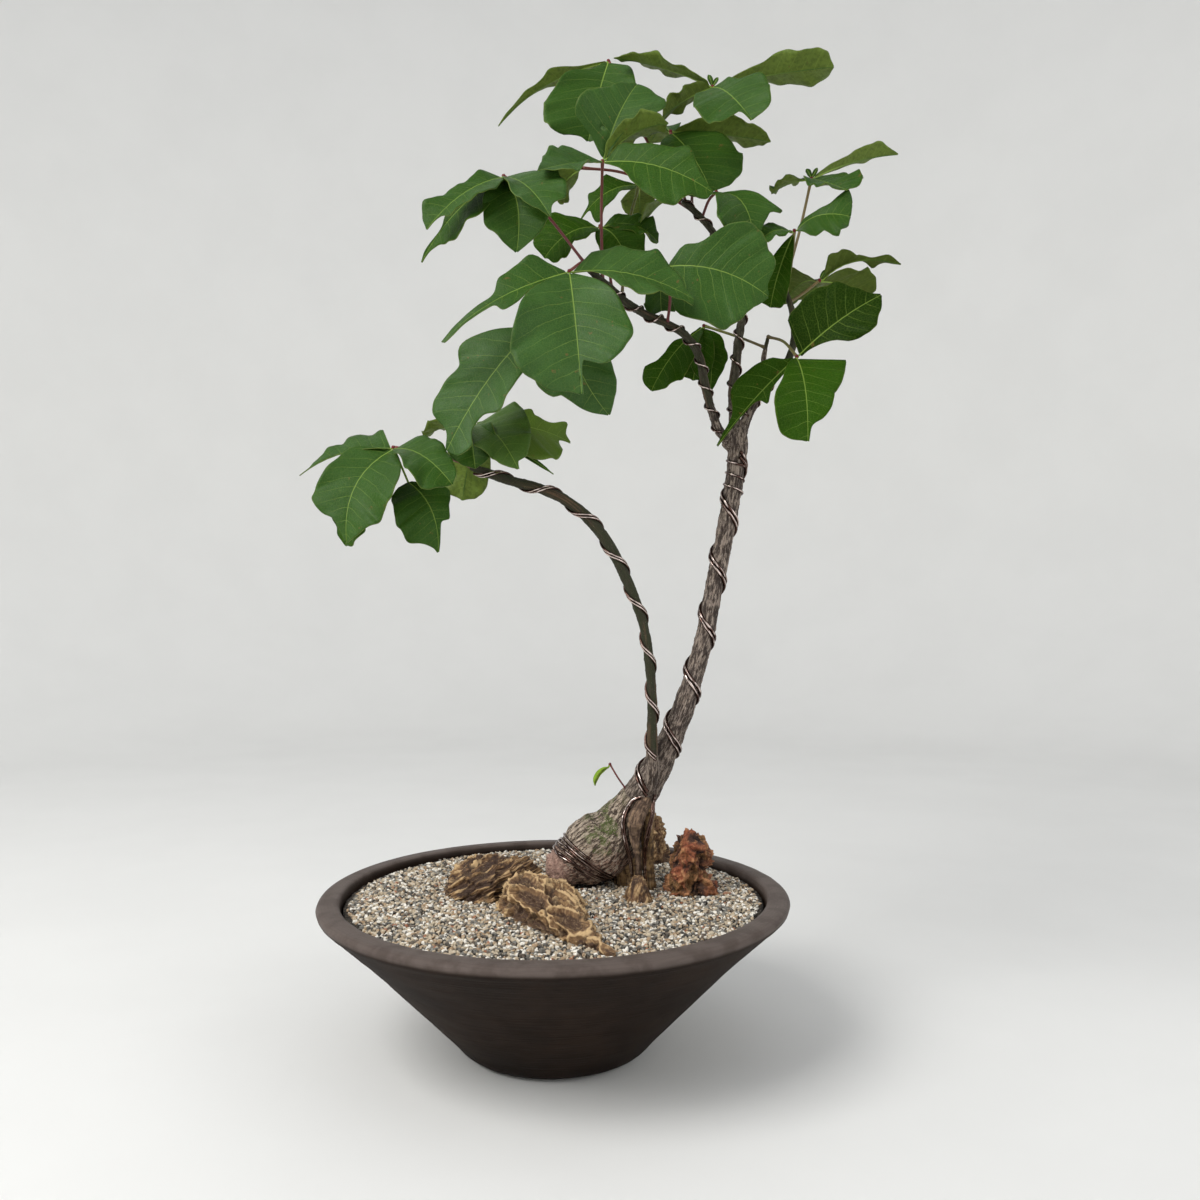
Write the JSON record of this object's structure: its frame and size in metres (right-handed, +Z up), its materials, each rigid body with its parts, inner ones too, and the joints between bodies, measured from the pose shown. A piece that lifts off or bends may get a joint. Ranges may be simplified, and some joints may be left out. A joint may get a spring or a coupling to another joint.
{
  "type": "potted bonsai tree",
  "caption": "Swollen-based leafy bonsai tree with wired branches and large palmate leaves, in a wide round pot of gravel with loose stones.",
  "frame": {"origin": "the middle of the pot's base, on the surface it stands on", "axes": "+Z up; +X to the right and -Y towards the viewer, as in the picture"},
  "size_m": [0.5424, 0.42, 0.9236],
  "materials": {
    "pot": "unglazed dark brown clay, satin, rubbed paler on the rim",
    "drain_net": "black woven drainage net",
    "soil": "dark gritty bonsai soil",
    "gravel": "fine washed gravel, white, tan, grey and black grains",
    "slab": "rough ochre ridged stone with dark pits",
    "lava": "rough rust-red porous lava",
    "bark": "grey-brown bark, green on the young branches",
    "wire": "brown anodised aluminium wire, semi-gloss",
    "leaf": "mid-green satin leaves with pale midribs and olive undersides",
    "stalk_red": "red-brown leaf stalks",
    "stalk_green": "yellow-green leaf stalks",
    "leaf_fresh": "bright yellow-green young leaf"
  },
  "bodies": {
    "root": {"pot": "pot", "drain_net": "drain_net", "soil": "soil", "gravel": "gravel", "slab_back": "slab", "slab_front": "slab", "lava_rock": "lava", "pebble_front": "slab", "rock_back": "slab", "tree_wood": "bark", "wire_trunk_upper": "wire", "wire_trunk_lower": "wire", "wire_left_upper": "wire", "wire_left_lower": "wire", "wire_upper_left": "wire", "wire_middle": "wire", "wire_right": "wire", "wire_caudex": "wire", "wire_anchor_left": "wire", "wire_anchor_right": "wire", "leaf_top_left": "leaf", "stalk_top_left": "stalk_red", "leaf_far_left_high": "leaf", "stalk_far_left_high": "stalk_red", "leaf_crown_left": "leaf", "stalk_crown_left": "stalk_red", "leaf_crown_right": "leaf", "stalk_crown_right": "stalk_red", "leaf_top_middle": "leaf", "stalk_top_middle": "stalk_red", "leaf_middle": "leaf", "stalk_middle": "stalk_red", "leaf_front_right_high": "leaf", "stalk_front_right_high": "stalk_red", "leaf_front": "leaf", "stalk_front": "stalk_red", "leaf_behind_front": "leaf", "stalk_behind_front": "stalk_red", "leaf_back_small": "leaf", "stalk_back_small": "stalk_green", "leaf_far_left_low": "leaf", "stalk_far_left_low": "stalk_red", "leaf_left": "leaf", "stalk_left": "stalk_red", "leaf_left_front": "leaf", "stalk_left_front": "stalk_red", "leaf_centre": "leaf", "stalk_centre": "stalk_green", "leaf_right_low": "leaf", "stalk_right_low": "stalk_green", "leaf_right": "leaf", "stalk_right": "stalk_red", "leaf_right_high": "leaf", "stalk_right_high": "stalk_red", "leaf_right_middle": "leaf", "stalk_right_middle": "stalk_green", "leaf_back_single": "leaf", "stalk_back_single": "stalk_red", "leaf_sprout": "leaf_fresh", "stalk_sprout": "stalk_red"}
  },
  "joints": []
}
